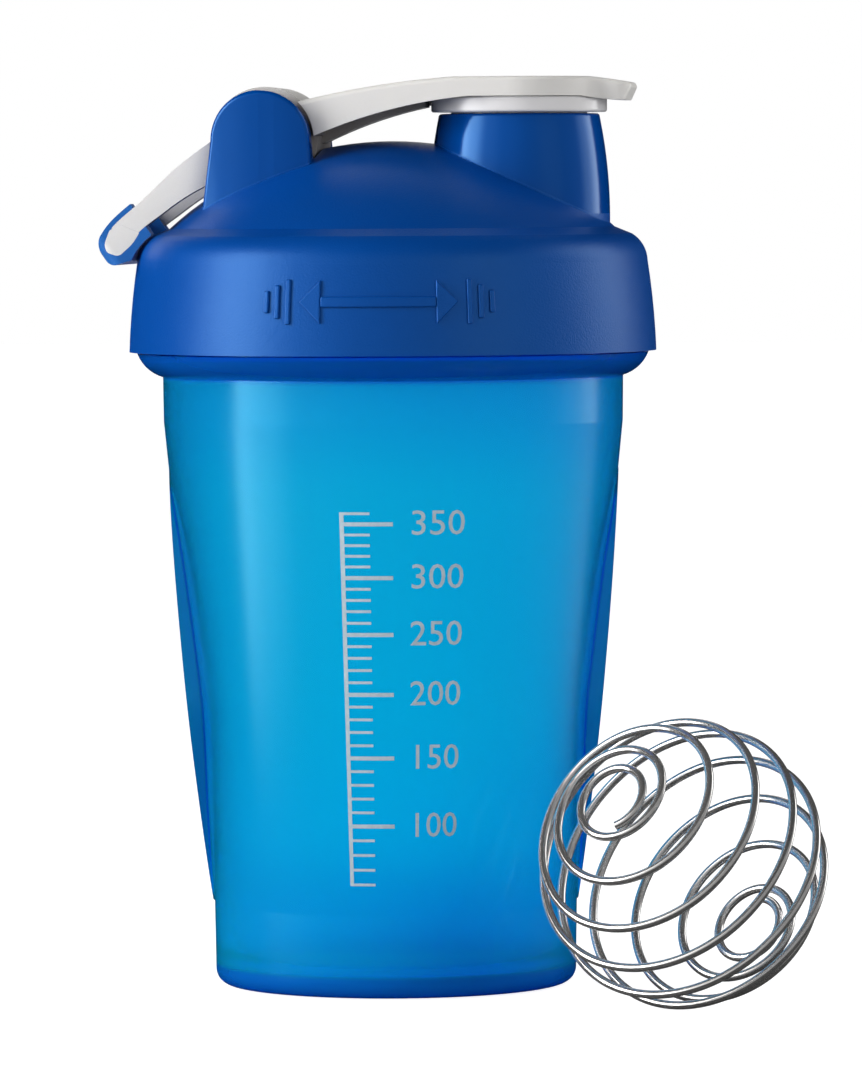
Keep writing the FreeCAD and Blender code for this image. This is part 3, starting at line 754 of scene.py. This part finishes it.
# the dark studio round the object, with the lit faces of its boxes: only gloss shows it
studio = {
    "radius": 2.3,
    "top": 2.6,
    "open": 4.0,            # half the gap behind the object, in degrees
    "steps": 72,
    "peak": 6.0,
    "walls": [(-180, 0), (-86, 0), (-83, 1.25), (-66, 0.75), (-46, 0.15), (-20, 0.06), (10, 0.04),
              (60, 0.035), (82, 0.04), (100, 0.2), (117, 0.46), (121, 0.46), (123, 0), (180, 0)],
    "floor": [(-180, 0), (-86, 0), (-83, 1.1), (-68, 0.6), (-48, 0.10), (0, 0.06), (60, 0.05),
              (96, 0.06), (112, 0.09), (120, 0.09), (123, 0), (180, 0)],
    "fadeUp": (1.5, 1.9),    # the boxes end at this height
    "fadeIn": (0.20, 0.52),  # and their light on the floor starts this far out
    "underObject": 0.0001,   # how far under the object the card's floor lies
}


def cardLight(name, faces):
    # brightness by the turn from the camera's side, as the list of faces says
    material, shader = newMaterial(name)
    place = addNode(material, "ShaderNodeTexCoord")
    split = addNode(material, "ShaderNodeSeparateXYZ")
    ahead = addNode(material, "ShaderNodeMath", operation="MULTIPLY")
    ahead.inputs[1].default_value = -1.0
    turn = addNode(material, "ShaderNodeMath", operation="ARCTAN2")
    share = addNode(material, "ShaderNodeMapRange", From_Min=-math.pi, From_Max=math.pi)
    up = addNode(material, "ShaderNodeMapRange", From_Min=studio["fadeUp"][0],
                 From_Max=studio["fadeUp"][1], To_Min=studio["peak"], To_Max=0.0)
    flat = addNode(material, "ShaderNodeCombineXYZ")
    reach = addNode(material, "ShaderNodeVectorMath", operation="LENGTH")
    out = addNode(material, "ShaderNodeMapRange", From_Min=studio["fadeIn"][0],
                  From_Max=studio["fadeIn"][1])
    out.interpolation_type = "SMOOTHSTEP"
    both = addNode(material, "ShaderNodeMath", operation="MULTIPLY")
    glow = addNode(material, "ShaderNodeEmission")
    link(material, place.outputs["Object"], split.inputs["Vector"])
    link(material, split.outputs["Y"], ahead.inputs[0])
    link(material, split.outputs["X"], turn.inputs[0])
    link(material, ahead.outputs[0], turn.inputs[1])
    link(material, turn.outputs[0], share.inputs["Value"])
    stops = [((degrees + 180) / 360, (level,) * 3) for degrees, level in faces]
    link(material, rampOver(material, share.outputs["Result"], stops), glow.inputs["Color"])
    link(material, split.outputs["X"], flat.inputs["X"])
    link(material, split.outputs["Y"], flat.inputs["Y"])
    link(material, flat.outputs["Vector"], reach.inputs[0])
    link(material, reach.outputs["Value"], out.inputs["Value"])
    link(material, split.outputs["Z"], up.inputs["Value"])
    link(material, up.outputs["Result"], both.inputs[0])
    link(material, out.outputs["Result"], both.inputs[1])
    link(material, both.outputs[0], glow.inputs["Strength"])
    showSurface(material, glow.outputs[0])
    return material


def addStudioCard():
    # a wall, a ceiling and a floor, open behind the object
    gap = math.radians(studio["open"])
    mesh = bmesh.new()
    floorHeight = cadBox[0].z - studio["underObject"]
    centre = mesh.verts.new((0, 0, floorHeight))
    rims = []
    for step in range(studio["steps"] + 1):
        angle = math.pi / 2 + gap + (2 * math.pi - 2 * gap) * step / studio["steps"]
        x = studio["radius"] * math.cos(angle)
        y = studio["radius"] * math.sin(angle)
        rims.append((mesh.verts.new((x, y, floorHeight)), mesh.verts.new((x, y, studio["top"]))))
    for (lowA, highA), (lowB, highB) in zip(rims, rims[1:]):
        mesh.faces.new((lowA, lowB, highB, highA))
        mesh.faces.new((centre, lowA, lowB)).material_index = 1
    mesh.faces.new([high for low, high in rims])
    data = bpy.data.meshes.new("studioCard")
    mesh.to_mesh(data)
    mesh.free()
    data.materials.append(cardLight("cardWalls", studio["walls"]))
    data.materials.append(cardLight("cardFloor", studio["floor"]))
    card = bpy.data.objects.new("studioCard", data)
    card.rotation_euler.z = math.radians(camera["turn"])
    card.visible_camera = False
    card.visible_diffuse = False
    card.visible_transmission = False
    card.visible_shadow = False
    card.visible_volume_scatter = False
    bpy.context.collection.objects.link(card)


# the studio's own light is stronger from the sides than from above
worldLook = {
    "fromSides": 0.6,
    "fromAbove": 0.12,
    "fadeEnd": 0.8,          # how far up the fade goes, 1 being straight up
}


def addWorld():
    world = bpy.data.worlds.new("studio")
    bpy.context.scene.world = world
    world.use_nodes = True
    world.node_tree.nodes.clear()
    white = (1, 1, 1, 1)
    place = addNode(world, "ShaderNodeTexCoord")
    split = addNode(world, "ShaderNodeSeparateXYZ")
    fade = addNode(world, "ShaderNodeMapRange", From_Max=worldLook["fadeEnd"],
                   To_Min=worldLook["fromSides"], To_Max=worldLook["fromAbove"])
    plain = addNode(world, "ShaderNodeBackground", Color=white)
    link(world, place.outputs["Generated"], split.inputs["Vector"])
    link(world, split.outputs["Z"], fade.inputs["Value"])
    link(world, fade.outputs["Result"], plain.inputs["Strength"])
    seen = addNode(world, "ShaderNodeBackground", Color=white, Strength=1.0)
    addNode(world, "ShaderNodeOutputWorld")
    showSurface(world, chosen(world, seenDirectly(world), plain.outputs[0], seen.outputs[0]))


floorLook = {
    "half": 6.0,
    "under": 0.0002,         # how far under the object it lies
    "colour": (0.45, 0.45, 0.45, 1),
    "roughness": 0.9,
    "shineLevel": 0.1,
    "glow": 0.90,            # what lifts it to white where it is seen
}


def addFloor():
    look = floorLook
    half = look["half"]
    mesh = bpy.data.meshes.new("floor")
    mesh.from_pydata([(-half, -half, 0), (half, -half, 0), (half, half, 0), (-half, half, 0)],
                     [], [(0, 1, 2, 3)])
    floor = bpy.data.objects.new("floor", mesh)
    floor.location.z = cadBox[0].z - look["under"]
    material, shader = newMaterial("paleFloor")
    shader.inputs["Base Color"].default_value = look["colour"]
    shader.inputs["Roughness"].default_value = look["roughness"]
    shader.inputs["Specular IOR Level"].default_value = look["shineLevel"]
    glow = addNode(material, "ShaderNodeEmission", Strength=look["glow"])
    both = addNode(material, "ShaderNodeAddShader")
    link(material, shader.outputs[0], both.inputs[0])
    link(material, glow.outputs[0], both.inputs[1])
    showSurface(material, chosen(material, seenDirectly(material), shader.outputs[0],
                                 both.outputs[0]))
    mesh.materials.append(material)
    bpy.context.collection.objects.link(floor)


bpy.context.scene.view_settings.view_transform = "Standard"
addCamera()
for look in lights:
    addLight(look)
addStudioCard()
addWorld()
addFloor()
print("camera and lights set")
